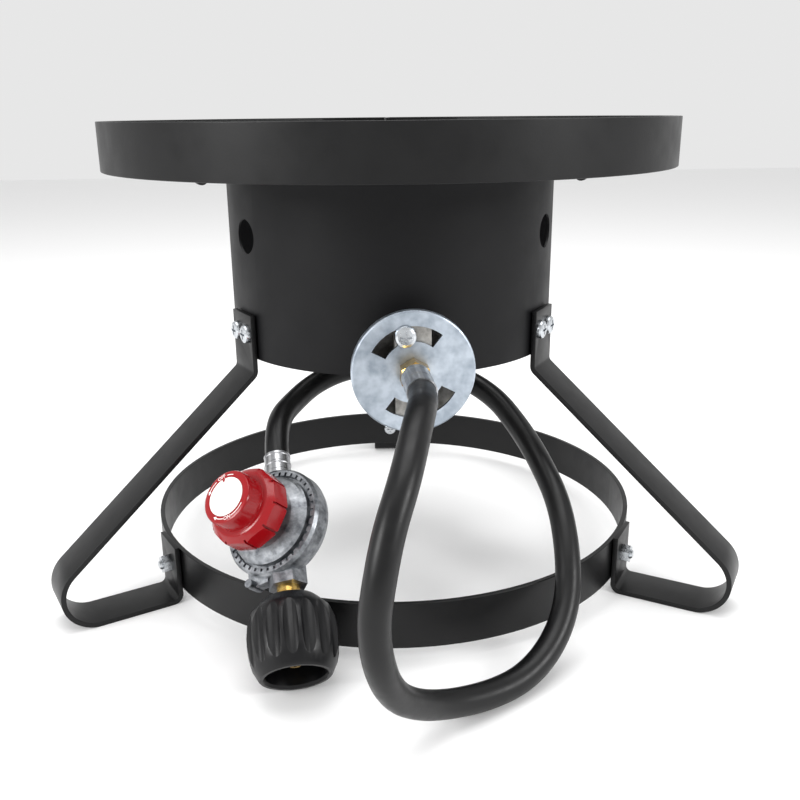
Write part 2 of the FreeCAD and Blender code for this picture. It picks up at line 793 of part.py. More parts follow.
def on_regulator(thing, label):
    """Name a copy of a piece where the regulator lies."""
    return named(copy(thing, REGULATOR_PLACE, REGULATOR_TURN), label)


def along_inlet(thing):
    """A piece drawn along +Z from the nut's mouth, laid along the inlet axis."""
    return copy(thing, ("-mouth_distance", "0", "0"), ALONG)


body_turned = turned([
    ("0", "-body_back"),
    ("body_radius * 0.5", "-body_back"),
    ("body_radius * 0.62", "-body_back + 2"),
    ("body_radius * 0.8", "-body_back + 6"),
    ("body_radius * 0.95", "-2"),
    ("body_radius", "2"),
    ("body_radius", "body_rim_top - 2"),
    ("body_radius - 1.2", "body_rim_top"),
    ("body_socket", "body_rim_top"),
    ("body_socket", "body_ledge"),
    ("chamber_radius", "body_ledge"),
    ("chamber_radius - 4", "-3"),
    ("0", "-3"),
])
inlet_boss = hexagon("inlet_flats", "inlet_reach - 12", ("-inlet_reach", "0", "0"),
                     ALONG * Rotation(Z, 50))
outlet_boss = cylinder("outlet_radius", "outlet_reach - 20", ("20", "0", "0"), ALONG)
vent_web = box("13", "13", "7", ("-32", "9", "-1"))
vent_boss = cylinder("2.4", "11", ("-30.5", "19.5", "-1"))
chamber = turned([
    ("0", "-3.5"),
    ("chamber_radius - 4", "-3.5"),
    ("chamber_radius", "body_ledge"),
    ("body_socket", "body_ledge"),
    ("body_socket", "body_rim_top + 10"),
    ("0", "body_rim_top + 10"),
])
rim_notch = box("2.4", "1.6", "3", ("body_socket - 0.4", "-0.8", "body_rim_top - 1.4"))
inlet_bore = cylinder("nipple_neck + 0.02", "9", ("-inlet_reach - 1", "0", "0"), ALONG)
inlet_way = cylinder("2", "24", ("-inlet_reach + 4", "0", "0"), ALONG)
outlet_way = cylinder("gas_bore", "24", ("12", "0", "0"), ALONG)
body_cast = fused(body_turned, inlet_boss, outlet_boss, vent_web, vent_boss)
notches = [turned_about_z(rim_notch, f"360 * {i} / notch_count") for i in range(SIZES["notch_count"])]
body_bored = cut(body_cast, chamber, inlet_bore, inlet_way, outlet_way)
on_regulator(cut(body_bored, group(*notches)), "regulator_body")

on_regulator(cylinder("body_socket - 0.2", "1", ("0", "0", "body_ledge")), "diaphragm")
on_regulator(turned([
    ("0", "body_ledge + 1.05"),
    ("spring_radius + 2", "body_ledge + 1.05"),
    ("spring_radius + 2", "body_ledge + 1.8"),
    ("spring_radius - 2", "body_ledge + 1.8"),
    ("spring_radius - 2", "body_ledge + 3"),
    ("0", "body_ledge + 3"),
]), "diaphragm_plate")

SPRING_FOOT = "(body_ledge + 1.8 + spring_wire + 0.1)"
helix = primitive("Helix", ("0", "0", SPRING_FOOT), Pitch="2.4", Height="7.2", Radius="spring_radius")
wire = primitive("Circle", ("spring_radius", "0", SPRING_FOOT), Rotation(X, 90), Radius="spring_wire")
spring = doc.addObject("Part::Sweep", "Spring")
spring.Sections = [wire]
spring.Spine = (helix, ["Edge1"])
spring.Solid = True
spring.Frenet = True
on_regulator(spring, "adjusting_spring")

SEAT_BOTTOM = f"({SPRING_FOOT} + 7.2 + spring_wire + 0.1)"
on_regulator(cylinder("spring_radius + 1.5", "1", ("0", "0", SEAT_BOTTOM)), "spring_seat")
STEM_FOOT = f"({SEAT_BOTTOM} + 1.3)"
on_regulator(turned([
    ("stem_radius + turn_gap", f"{STEM_FOOT} - 0.1"),
    ("spring_radius + 2.5", f"{STEM_FOOT} - 0.1"),
    ("spring_radius + 2.5", "body_ledge + 1.2"),
    ("body_socket - 0.2", "body_ledge + 1.2"),
    ("body_socket - 0.2", "body_rim_top - 2.5"),
    ("body_socket - 1.6", "body_rim_top - 2.5"),
    ("body_socket - 1.6", "body_rim_top + 1.2"),
    ("body_socket - 3", "body_rim_top + 2.4"),
    ("body_socket - 9", "bonnet_top - 3"),
    ("bonnet_hub_radius + 1", "bonnet_top"),
    ("bonnet_hub_radius", "bonnet_hub_top"),
    ("stem_radius + turn_gap", "bonnet_hub_top"),
]), "regulator_bonnet")

# knob
skirt = primitive("Prism", ("0", "0", "knob_back"), Circumradius="knob_flats_radius",
                  Height="knob_skirt_top - knob_back")
skirt.Polygon = SIZES["knob_lobes"]
skirt_form = turned([
    ("0", "knob_back"),
    ("knob_flats_radius - 0.6", "knob_back"),
    ("knob_flats_radius + 1", "knob_back + 3"),
    ("knob_flats_radius - 0.4", "knob_skirt_top - 3.5"),
    ("knob_flats_radius - 3.5", "knob_skirt_top - 0.6"),
    ("knob_boss_radius + 2.5", "knob_skirt_top"),
    ("0", "knob_skirt_top"),
])
lobed = doc.addObject("Part::MultiCommon", "Lobed")
lobed.Shapes = [skirt, skirt_form]
boss = turned([
    ("0", "knob_skirt_top - 4"),
    ("knob_boss_radius + 1.2", "knob_skirt_top - 4"),
    ("knob_boss_radius + 0.4", "knob_skirt_top + 1"),
    ("knob_boss_radius", "knob_top - 1.4"),
    ("knob_boss_radius - 0.5", "knob_top - 0.4"),
    ("knob_boss_radius - 1.4", "knob_top"),
    ("0", "knob_top"),
])
knob_hollow = turned([
    ("stem_radius + 3", "knob_back - 1"),
    ("knob_flats_radius - 2 * knob_wall - 0.5", "knob_back - 1"),
    ("knob_flats_radius - 2 * knob_wall - 0.5", "knob_skirt_top - knob_wall - 2"),
    ("knob_boss_radius - knob_wall", "knob_skirt_top - knob_wall"),
    ("knob_boss_radius - knob_wall", "knob_top - knob_wall"),
    ("stem_radius + 3", "knob_top - knob_wall"),
])
edge_groove = box("3", "1.2", "knob_skirt_top - knob_back", ("knob_flats_radius - 1.7", "-0.6",
                                                            "knob_back - 2.5"))
label_seat = cylinder("label_radius + 0.1", "2", ("0", "0", "knob_top - label_thick + 0.1"))
STEM_TOP = "(knob_top - knob_wall - 1)"
stem_socket = cylinder("stem_radius", f"{STEM_TOP} - knob_back + 3", ("0", "0", "knob_back - 3"))
grooves = [turned_about_z(edge_groove, f"360 * {i} / knob_lobes") for i in range(SIZES["knob_lobes"])]
knob_moulding = cut(fused(lobed, boss), knob_hollow, label_seat, stem_socket)
on_regulator(cut(knob_moulding, group(*grooves)), "pressure_knob")
on_regulator(cylinder("label_radius", "label_thick", ("0", "0", "knob_top - label_thick + 0.15")),
             "knob_label")
on_regulator(cylinder("stem_radius", f"{STEM_TOP} - {STEM_FOOT}", ("0", "0", STEM_FOOT)),
             "adjusting_stem")

# tank nut and nipple
nut_outside = turned([
    ("0", "0"),
    ("nut_rim_radius - 0.8", "0"),
    ("nut_rim_radius", "0.8"),
    ("nut_rim_radius + (nut_waist_radius - nut_rim_radius) * 0.55", "nut_long * 0.14"),
    ("nut_rim_radius + (nut_waist_radius - nut_rim_radius) * 0.85", "nut_long * 0.26"),
    ("nut_waist_radius", "nut_long * 0.42"),
    ("nut_waist_radius", "nut_long * 0.54"),
    ("nut_rim_radius + (nut_waist_radius - nut_rim_radius) * 0.85", "nut_long * 0.7"),
    ("nut_rim_radius + (nut_waist_radius - nut_rim_radius) * 0.4", "nut_long * 0.84"),
    ("nut_top_radius + 2.2", "nut_long * 0.95"),
    ("nut_top_radius", "nut_long"),
    ("0", "nut_long"),
])
nut_cavity = turned([
    ("0", "-2"),
    ("nut_cavity + 1", "-2"),
    ("nut_cavity + 1", "0"),
    ("nut_cavity", "1.5"),
    ("nut_cavity", "nut_long - nut_floor - 4"),
    ("nut_cavity - 4", "nut_long - nut_floor"),
    ("0", "nut_long - nut_floor"),
])
nut_bore = cylinder("nipple_neck + turn_gap", "nut_floor + 2", ("0", "0", "nut_long - nut_floor - 1"))
flute = cylinder("flute_radius", "nut_long + 4",
                 ("nut_waist_radius + flute_radius - flute_depth", "0", "-2"))
flutes = [turned_about_z(flute, f"360 * ({i} + 0.5) / nut_flutes") for i in range(SIZES["nut_flutes"])]
nut_bored = cut(nut_outside, nut_cavity, nut_bore)
on_regulator(along_inlet(cut(nut_bored, group(*flutes))), "tank_nut")

NECK_END = "(mouth_distance - inlet_reach + 6)"
nipple_outside = turned([
    ("0", "nipple_tip"),
    ("2.8", "nipple_tip"),
    ("3.4", "nipple_tip + 1"),
    ("nipple_nose", "nipple_tip + 6"),
    ("nipple_nose", "nut_long - nut_floor - 4"),
    ("nipple_collar", "nut_long - nut_floor - 3"),
    ("nipple_collar", "nut_long - nut_floor - 0.3"),
    ("nipple_neck", "nut_long - nut_floor - 0.3"),
    ("nipple_neck", NECK_END),
    ("0", NECK_END),
])
nipple_cuts = [
    cylinder("0.8", "8", ("0", "0", "nipple_tip - 1")),
    cylinder("nipple_bore", f"{NECK_END} - nipple_tip", ("0", "0", "nipple_tip + 5")),
]
on_regulator(along_inlet(cut(nipple_outside, *nipple_cuts)), "inlet_nipple")
check_ball = primitive("Sphere", ("0", "0", "nut_long - nut_floor"), Radius="nipple_bore - 0.2")
on_regulator(along_inlet(check_ball), "flow_check_ball")

# ferrule at the regulator
short_ferrule = ferrule("short_ferrule_long", "short_ferrule_cover")
on_regulator(copy(short_ferrule, ("outlet_reach + 0.2", "0", "0"), ALONG), "hose_ferrule_regulator")

# ---------------------------------------------------------------- hose


def hose_route():
    """The route's points: out of the burner's ferrule, round, and into the regulator's."""
    height = value("tube_height")
    straight = value("hose_straight")
    leave = value(f"{FERRULE_BACK} + ferrule_long - ferrule_cover")
    into = value("outlet_reach + 0.2 + short_ferrule_long - short_ferrule_cover")
    seat = Placement(Vector(*(value(text) for text in REGULATOR_PLACE)), REGULATOR_TURN)
    first = [Vector(0, -leave, height), Vector(0, -leave - straight, height)]
    last = [seat.multVec(Vector(into + straight, 0, 0)), seat.multVec(Vector(into, 0, 0))]
    return first + [Vector(*point) for point in HOSE_MIDDLE] + last


def smooth_path(points):
    """Straight runs joined by arcs as large as the shorter run beside each allows."""
    edges, radii, start = [], [], points[0]
    for before, at, after in zip(points, points[1:], points[2:]):
        back, ahead = before - at, after - at
        reach = 0.45 * min(back.Length, ahead.Length)
        back, ahead = back.normalize(), ahead.normalize()
        half_turn = (math.pi - back.getAngle(ahead)) / 2
        radius = reach / math.tan(half_turn)
        bisector = (back + ahead).normalize()
        middle = at + bisector * (radius / math.cos(half_turn) - radius)
        enter, leave = at + back * reach, at + ahead * reach
        edges.append(Part.LineSegment(start, enter).toShape())
        edges.append(Part.Arc(enter, middle, leave).toShape())
        radii.append(radius)
        start = leave
    edges.append(Part.LineSegment(start, points[-1]).toShape())
    return Part.Wire(edges), radii


route = hose_route()
path, radii = smooth_path(route)
print("hose radii, mm:", [round(radius) for radius in radii])
section = Part.Wire(Part.makeCircle(value("hose_radius"), route[0], route[1] - route[0]))
hose = doc.addObject("Part::Feature", "Hose")
hose.Shape = path.makePipeShell([section], True, True)
named(hose, "hose")
section_area = math.pi * value("hose_radius") ** 2
print("hose length", round(path.Length, 1), "volume ratio",
      round(hose.Shape.Volume / (section_area * path.Length), 4))

# ---------------------------------------------------------------- check and export

doc.recompute()
for thing in doc.Objects:
    if {"Invalid", "Error"} & set(thing.State):
        raise RuntimeError(f"{thing.Name} ({thing.Label}) failed: {thing.State}")
for thing in sub_parts:
    if thing.Shape.isNull() or not thing.Shape.isValid() or not thing.Shape.Solids:
        raise RuntimeError(f"{thing.Label} has no valid shape")

os.makedirs("parts", exist_ok=True)
for thing in sub_parts:
    thing.Shape.exportStep(f"parts/{thing.Label}.step")
print(len(sub_parts), "sub-parts written")
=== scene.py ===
"""Looks of an outdoor propane cooker: black powder-coated stand, zinc-plated shutter,
rubber hose, die-cast regulator with a red knob, and a black tank nut."""

import json
import math

import bmesh
import bpy
from bpy.props import FloatProperty, FloatVectorProperty, IntProperty, PointerProperty
from mathutils import Matrix, Vector


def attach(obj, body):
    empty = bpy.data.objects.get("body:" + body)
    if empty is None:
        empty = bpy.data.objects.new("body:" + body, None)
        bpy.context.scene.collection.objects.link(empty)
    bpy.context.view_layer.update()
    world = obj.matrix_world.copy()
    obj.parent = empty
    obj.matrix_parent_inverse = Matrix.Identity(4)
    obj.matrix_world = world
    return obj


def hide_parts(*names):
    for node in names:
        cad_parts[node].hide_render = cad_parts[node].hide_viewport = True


bl_info = {
    "name": "Outdoor cooker",
    "version": (1, 0, 0),
    "blender": (4, 5, 0),
    "location": "3D View > Sidebar > Cooker",
    "description": "Finishes the stand, burner, hose and regulator, and sets the stage",
    "category": "Object",
}

MM = 0.001
WELD_DISTANCE = 0.002 * MM
FLAT_DEG, SMOOTH_DEG = 0.6, 40

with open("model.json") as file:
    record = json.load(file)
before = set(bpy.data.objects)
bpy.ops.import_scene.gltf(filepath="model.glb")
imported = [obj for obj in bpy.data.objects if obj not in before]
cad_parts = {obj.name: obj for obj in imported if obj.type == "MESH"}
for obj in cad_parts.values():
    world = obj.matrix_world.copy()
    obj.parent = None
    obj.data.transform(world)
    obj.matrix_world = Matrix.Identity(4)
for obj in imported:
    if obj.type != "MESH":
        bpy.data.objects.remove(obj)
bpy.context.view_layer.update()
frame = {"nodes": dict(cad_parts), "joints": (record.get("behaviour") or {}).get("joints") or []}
nodes = frame["nodes"]
joints = {joint["name"]: joint for joint in frame["joints"]}

# ---------------------------------------------------------------- places read from the frame

KNOB_CENTRE = Vector(joints["pressure_knob_turn"]["pos_m"])
KNOB_AXIS = Vector(joints["pressure_knob_turn"]["axis"])
INLET_AXIS = Vector(joints["tank_nut_spin"]["axis"])

# The hose's route, in millimetres: from inside the burner's ferrule, down and round over the
# floor, up behind the burner tube and into the regulator's ferrule.
HOSE_MIDDLE = [
    (-4, -196, 159.5),
    (-10, -219, 154),
    (-16.5, -239, 142.5),
    (-25, -253, 125),
    (-30, -261, 106),
    (-33, -262, 86),
    (-31, -260, 66),
    (-26, -252, 47),
    (-17, -241, 31),
    (1, -224, 15),
    (29, -209, 7.6),
    (52, -196, 8.2),
    (71, -179, 17),
    (83, -161, 32),
    (87, -142, 52),
    (88, -117, 71),
    (84, -83, 85),
    (78, -51, 96),
    (66, -26, 110),
    (44, -6, 120),
    (17, 5, 124),
    (-10, 5, 126),
    (-35, -3, 125),
    (-55, -17, 120),
    (-68, -35, 114),
    (-77, -57, 110.5),
]
# The knob's face, in its own frame: the height of the face and of the label on it, and the
# middle radius and thickness of what is printed round the label.
KNOB_TOP = 50.0
LABEL_TOP = 50.15
PRINT_RADIUS = 12.6
PRINT_THICK = 0.06
PRINT_WIDE = 0.4
LETTER_TALL = 2.1
CAPITAL_SHARE = 0.72
LETTER_DEG, WORD_MARGIN_DEG = 5.5, 1
ARC_STEP_DEG = 4
# Each print: the arrow's start and end in degrees, its word, where the word sits, and which
# way the arrow runs: 1 anticlockwise, -1 clockwise.
PRINTS = (
    (-27, 56, "OFF", 10, 1),
    (232, 145, "ON", 180, -1),
)
LABEL_POINTER = [(8.6, 0.7), (10.9, -0.4), (10.9, 1.8)]

# Where the hose starts out from the burner, how far it runs straight at both ends, how far
# from the knob's centre it ends, and the height of the burner tube, in millimetres.
HOSE_START = 156.3
HOSE_STRAIGHT = 18
HOSE_END_REACH = 38.7
TUBE_HEIGHT = 158
HOSE_DIAMETER = 14.6 * MM

CRIMP_COUNT = 9

# Each soft light: its name, its place and width in metres, and its power in watts.
SOFTBOXES = (
    ("overhead_softbox", (0.0, 0.1, 1.7), 1.4, 20),
    ("left_softbox", (-1.2, -0.7, 0.7), 0.5, 12),
    ("right_softbox", (1.1, -0.8, 0.7), 0.45, 9),
)
LIGHT_TARGET = (0, 0, 0.15)
AIR_STRENGTH = 0.8
CAMERA_PLACE = (-0.0522, -0.58728, 0.29181)
CAMERA_HEADING, CAMERA_PITCH, CAMERA_ROLL = 84.45, 17.94, -0.57
CAMERA_LENS = 39.83
CAMERA_SENSOR = 36

RIDES_ON_HOSE = (
    "hose_ferrule_regulator",
    "regulator_body",
    "regulator_bonnet",
    "diaphragm",
    "diaphragm_plate",
    "adjusting_spring",
    "spring_seat",
    "adjusting_stem",
    "knob_label",
    "inlet_nipple",
    "flow_check_ball",
)


# ---------------------------------------------------------------- node helpers


def linear(code):
    """An sRGB hex colour as linear red, green, blue and alpha."""
    parts = [int(code[i : i + 2], 16) / 255 for i in (1, 3, 5)]
    parts = [c / 12.92 if c <= 0.04045 else ((c + 0.055) / 1.055) ** 2.4 for c in parts]
    return (*parts, 1.0)


def add_node(tree, kind, links=(), inputs=None, **settings):
    """Add a node with its settings, its socket values and its incoming links."""
    node = tree.nodes.new(kind)
    for key, setting in settings.items():
        setattr(node, key, setting)
    for key, amount in (inputs or {}).items():
        node.inputs[key].default_value = amount
    for key, source in links:
        tree.links.new(source, node.inputs[key])
    return node


def new_material(name, colour, roughness, metallic=0.0, **sockets):
    """A material with one Principled shader, its even values on the shader's sockets."""
    material = bpy.data.materials.new(name)
    material.use_nodes = True
    tree = material.node_tree
    shader = tree.nodes["Principled BSDF"]
    shader.inputs["Base Color"].default_value = linear(colour)
    shader.inputs["Roughness"].default_value = roughness
    shader.inputs["Metallic"].default_value = metallic
    for key, amount in sockets.items():
        shader.inputs[key.replace("_", " ")].default_value = amount
    return material, tree, shader


def per_metre(size_mm):
    """The scale of a pattern on Object coordinates whose features are size_mm wide."""
    return 1 / (size_mm * MM)


def object_place(tree):
    return add_node(tree, "ShaderNodeTexCoord").outputs["Object"]


def noise(tree, size_mm, detail=3.0, roughness=0.5, place=None):
    return add_node(
        tree,
        "ShaderNodeTexNoise",
        [("Vector", place or object_place(tree))],
        {"Scale": per_metre(size_mm), "Detail": detail, "Roughness": roughness},
    ).outputs["Fac"]


def spread(tree, source, low, high):
    """Map a noise from its usual span of 0.3 to 0.7 onto low to high."""
    return add_node(
        tree,
        "ShaderNodeMapRange",
        [("Value", source)],
        {"From Min": 0.3, "From Max": 0.7, "To Min": low, "To Max": high},
    ).outputs["Result"]


def mixed(tree, source, dark, light):
    """A colour between two hex colours, led by a noise."""
    ramp = add_node(tree, "ShaderNodeValToRGB", [("Fac", source)])
    ramp.color_ramp.elements[0].position = 0.32
    ramp.color_ramp.elements[1].position = 0.68
    ramp.color_ramp.elements[0].color = linear(dark)
    ramp.color_ramp.elements[1].color = linear(light)
    return ramp.outputs["Color"]


def bumped(tree, shader, height, depth_mm, strength=1.0, under=None):
    """Give a shader a bump of a real depth; `under` is a bump already there."""
    links = [("Height", height)]
    if under:
        links.append(("Normal", under))
    bump = add_node(
        tree, "ShaderNodeBump", links, {"Strength": strength, "Distance": depth_mm * MM}
    )
    tree.links.new(bump.outputs["Normal"], shader.inputs["Normal"])
    return bump.outputs["Normal"]


def feed(tree, shader, socket, source):
    tree.links.new(source, shader.inputs[socket])


# ---------------------------------------------------------------- materials


def powder_coat_bar(look):
    """Semi-gloss black powder coat on flat bar: broad soft highlights, faint orange peel."""
    material, tree, shader = new_material(
        "semi_gloss_black_powder_coat", "#070708", look.bar_roughness, Specular_IOR_Level=0.3
    )
    feed(tree, shader, "Roughness", spread(tree, noise(tree, 14), 0.34, 0.44))
    bumped(tree, shader, noise(tree, 1.1, 2.0), 0.05, 0.5)
    return material


def powder_coat_sheet(look):
    """Satin black powder coat on rolled sheet: flatter than the bar, with a fine grain."""
    material, tree, shader = new_material(
        "satin_black_powder_coat", "#08080a", look.sheet_roughness, Specular_IOR_Level=0.2
    )
    feed(tree, shader, "Roughness", spread(tree, noise(tree, 20), 0.46, 0.56))
    bumped(tree, shader, noise(tree, 0.9, 2.0), 0.04, 0.5)
    return material


def zinc_plate(look):
    """Bright zinc plate on steel screws: cool, clean and slightly clouded."""
    material, tree, shader = new_material("bright_zinc_plate", "#c4c8cc", 0.26, 1.0)
    feed(tree, shader, "Roughness", spread(tree, noise(tree, 2.5), 0.2, 0.36))
    bumped(tree, shader, noise(tree, 0.5), 0.02, 0.5)
    return material


def zinc_sheet(look):
    """Zinc-plated sheet steel of the shutter: pale blue-grey, softly mottled."""
    material, tree, shader = new_material("zinc_plated_sheet", "#aab3bd", 0.38, 1.0)
    feed(tree, shader, "Base Color", mixed(tree, noise(tree, 7, 4.0), "#96a0ab", "#bcc5cf"))
    feed(tree, shader, "Roughness", spread(tree, noise(tree, 4, 4.0), 0.32, 0.46))
    bumped(tree, shader, noise(tree, 0.7), 0.02, 0.5)
    return material


def bare_casting(look):
    """Bare sand-cast metal of the burner: pale grey, dry and grainy."""
    material, tree, shader = new_material("bare_sand_casting", "#9b9a97", 0.6, 0.85)
    feed(tree, shader, "Base Color", mixed(tree, noise(tree, 5, 5.0), "#7d7c79", "#b3b1ad"))
    bumped(tree, shader, noise(tree, 1.4, 4.0), 0.25, 0.7)
    return material


def machined_brass(look):
    """Turned brass: warm gold, faintly clouded."""
    material, tree, shader = new_material("machined_brass", "#b8964f", 0.26, 1.0)
    feed(tree, shader, "Base Color", mixed(tree, noise(tree, 4), "#a88543", "#c9a862"))
    bumped(tree, shader, noise(tree, 0.6), 0.02, 0.5)
    return material


def plated_crimp(name, centre, axis):
    """Plated steel sleeve with crimp marks along it: silver with a few soft lengthwise lines of
    painted shade in the crimp valleys and painted highlight on their crests.
    """
    material, tree, shader = new_material(name, "#b4b5b7", 0.3, 1.0)
    turn = axis.to_track_quat("Z", "Y").to_matrix().to_4x4()
    euler = turn.inverted().to_euler()
    start = -(turn.inverted() @ centre)
    place = add_node(
        tree,
        "ShaderNodeMapping",
        [("Vector", object_place(tree))],
        {"Location": start, "Rotation": euler},
    ).outputs["Vector"]
    parts = add_node(tree, "ShaderNodeSeparateXYZ", [("Vector", place)])
    angle = add_node(
        tree,
        "ShaderNodeMath",
        [(0, parts.outputs["Y"]), (1, parts.outputs["X"])],
        operation="ARCTAN2",
    )
    waves = add_node(
        tree, "ShaderNodeMath", [(0, angle.outputs[0])], {1: CRIMP_COUNT}, operation="MULTIPLY"
    )
    ridge = add_node(tree, "ShaderNodeMath", [(0, waves.outputs[0])], operation="SINE")
    crimp_relief_and_shade = add_node(
        tree,
        "ShaderNodeMapRange",
        [("Value", ridge.outputs[0])],
        {"From Min": -1.0, "From Max": 1.0, "To Min": 0.0, "To Max": 1.0},
    ).outputs["Result"]
    # The crimp pattern colours the sleeve as painted shade along the crimp valleys and painted
    # highlight along the crests; the bump below gives the real relief.
    feed(tree, shader, "Base Color", mixed(tree, crimp_relief_and_shade, "#9c9da0", "#bcbdbf"))
    bumped(tree, shader, crimp_relief_and_shade, 0.15, 0.6)
    return material


def die_cast_zinc(look):
    """Die-cast zinc left bare: mottled dark to light grey with soft sparkle."""
    material, tree, shader = new_material("die_cast_zinc", "#85888c", 0.42, 0.95)
    feed(tree, shader, "Base Color", mixed(tree, noise(tree, 6, 6.0, 0.62), "#5b5e63", "#adb0b4"))
    feed(tree, shader, "Roughness", spread(tree, noise(tree, 5, 4.0), 0.32, 0.5))
    bumped(tree, shader, noise(tree, 1.6, 4.0), 0.12, 0.6)
    return material


def moulded_red(look):
    """Glossy red ABS moulding: deep even red with sharp highlights."""
    material, tree, shader = new_material(
        "glossy_red_abs", "#8c0810", look.knob_roughness, Specular_IOR_Level=0.4
    )
    shader.inputs["Base Color"].default_value = (*look.knob_colour, 1.0)
    feed(tree, shader, "Roughness", spread(tree, noise(tree, 9), 0.16, 0.24))
    bumped(tree, shader, noise(tree, 3.0), 0.04, 0.3)
    return material


def printed_white(look):
    """White vinyl label: clean, slightly warm, faintly satin."""
    material, tree, shader = new_material("white_vinyl_label", "#e9e9e6", 0.36)
    feed(tree, shader, "Roughness", spread(tree, noise(tree, 5), 0.3, 0.42))
    return material


def white_print(look):
    """White pad-print ink on the knob: thin, matt."""
    material, tree, shader = new_material("white_pad_print", "#f0eeec", 0.55)
    feed(tree, shader, "Roughness", spread(tree, noise(tree, 2), 0.5, 0.6))
    return material


def moulded_nylon(look):
    """Satin black nylon of the tank nut: soft sheen on the flutes."""
    material, tree, shader = new_material(
        "satin_black_nylon", "#070709", 0.36, Specular_IOR_Level=0.3
    )
    feed(tree, shader, "Roughness", spread(tree, noise(tree, 5), 0.3, 0.42))
    bumped(tree, shader, noise(tree, 0.8), 0.03, 0.5)
    return material


def hose_rubber(look):
    """Extruded black rubber hose: satin, finely grained, with a soft highlight along it."""
    material, tree, shader = new_material(
        "extruded_black_rubber", "#060607", look.hose_roughness, Specular_IOR_Level=0.32
    )
    feed(tree, shader, "Roughness", spread(tree, noise(tree, 6), 0.33, 0.43))
    bumped(tree, shader, noise(tree, 0.8, 2.0), 0.05, 0.5)
    return material


def sheet_rubber(look):
    """Thin moulded rubber of the diaphragm: dull black."""
    material, tree, shader = new_material("moulded_sheet_rubber", "#1b1b1b", 0.6)
    bumped(tree, shader, noise(tree, 1.0), 0.03, 0.5)
    return material


# ---------------------------------------------------------------- mesh helpers


def paint(node_name, material):
    """Put a finish on a CAD node's own slots."""
    slots = nodes[node_name].data.materials
    slots.clear()
    slots.append(material)


def new_piece(name, mesh, material, body):
    piece = bpy.data.objects.new(name, mesh)
    bpy.context.scene.collection.objects.link(piece)
    mesh.materials.clear()
    mesh.materials.append(material)
    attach(piece, body)
    return piece


def softened(node_name, material, body, width_mm=0.4, segments=3, sharp_deg=28):
    """A copy of a CAD node with its loose triangles joined and its sharp edges rounded."""
    form = bmesh.new()
    form.from_mesh(nodes[node_name].data)
    bmesh.ops.remove_doubles(form, verts=form.verts, dist=WELD_DISTANCE)
    bmesh.ops.dissolve_limit(
        form, angle_limit=math.radians(FLAT_DEG), verts=form.verts, edges=form.edges
    )
    sharp = [
        edge
        for edge in form.edges
        if len(edge.link_faces) == 2 and edge.calc_face_angle(0) > math.radians(sharp_deg)
    ]
    bmesh.ops.bevel(
        form,
        geom=sharp,
        offset=width_mm * MM,
        offset_type="OFFSET",
        affect="EDGES",
        segments=segments,
        profile=0.5,
        material=-1,
        clamp_overlap=True,
    )
    for face in form.faces:
        face.smooth = True
    mesh = bpy.data.meshes.new(node_name + "_eased")
    form.to_mesh(mesh)
    form.free()
    mesh.set_sharp_from_angle(angle=math.radians(SMOOTH_DEG))
    piece = new_piece(node_name + "_finish", mesh, material, body)
    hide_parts(node_name)
    return piece


def knob_frame():
    """The knob's own frame: X up its inlet axis, Z out of its face."""
    across = KNOB_AXIS.cross(INLET_AXIS)
    turn = Matrix((INLET_AXIS, across, KNOB_AXIS)).transposed().to_4x4()
    return Matrix.Translation(KNOB_CENTRE) @ turn


def plate(form, corners, base, thick):
    """A thin flat plate through corners, standing on the height `base`."""
    face = form.faces.new([form.verts.new((x, y, base)) for x, y in corners])
    grown = bmesh.ops.extrude_face_region(form, geom=[face])["geom"]
    top = [part for part in grown if isinstance(part, bmesh.types.BMVert)]
    bmesh.ops.translate(form, verts=top, vec=(0, 0, thick))


def arc_line(form, radius, wide, base, thick, first_deg, last_deg):
    """A thin raised line along an arc about Z."""
    start = Matrix.Rotation(math.radians(first_deg), 4, "Z")
    inner, outer = radius - wide / 2, radius + wide / 2
    corners = ((inner, base), (outer, base), (outer, base + thick), (inner, base + thick))
    verts = [form.verts.new(start @ Vector((r, 0, height))) for r, height in corners]
    face = form.faces.new(verts)
    bmesh.ops.spin(
        form,
        geom=[face, *face.edges, *verts],
        axis=(0, 0, 1),
        cent=(0, 0, 0),
        angle=math.radians(last_deg - first_deg),
        steps=max(4, round(abs(last_deg - first_deg) / ARC_STEP_DEG)),
        use_duplicate=False,
    )


def arrow_head(form, radius, base, thick, at_deg, way):
    """A small arrow head on an arc, pointing anticlockwise for way 1, clockwise for -1."""
    long_deg, half = 9, 1.0
    points = []
    for r, deg in ((radius - half, 0), (radius, long_deg), (radius + half, 0)):
        turn = math.radians(at_deg + way * deg)
        points.append((r * math.cos(turn), r * math.sin(turn)))
    plate(form, points, base, thick)


def word_mesh(word, tall):
    """A word as a flat mesh, centred, its height `tall`."""
    text = bpy.data.curves.new("word", "FONT")
    text.body = word
    text.size = tall / CAPITAL_SHARE
    text.extrude = PRINT_THICK / 2
    text.align_x = "CENTER"
    text.align_y = "CENTER"
    holder = bpy.data.objects.new("word", text)
    bpy.context.scene.collection.objects.link(holder)
    bpy.context.view_layer.update()
    mesh = bpy.data.meshes.new_from_object(
        holder.evaluated_get(bpy.context.evaluated_depsgraph_get())
    )
    bpy.data.objects.remove(holder)
    return mesh


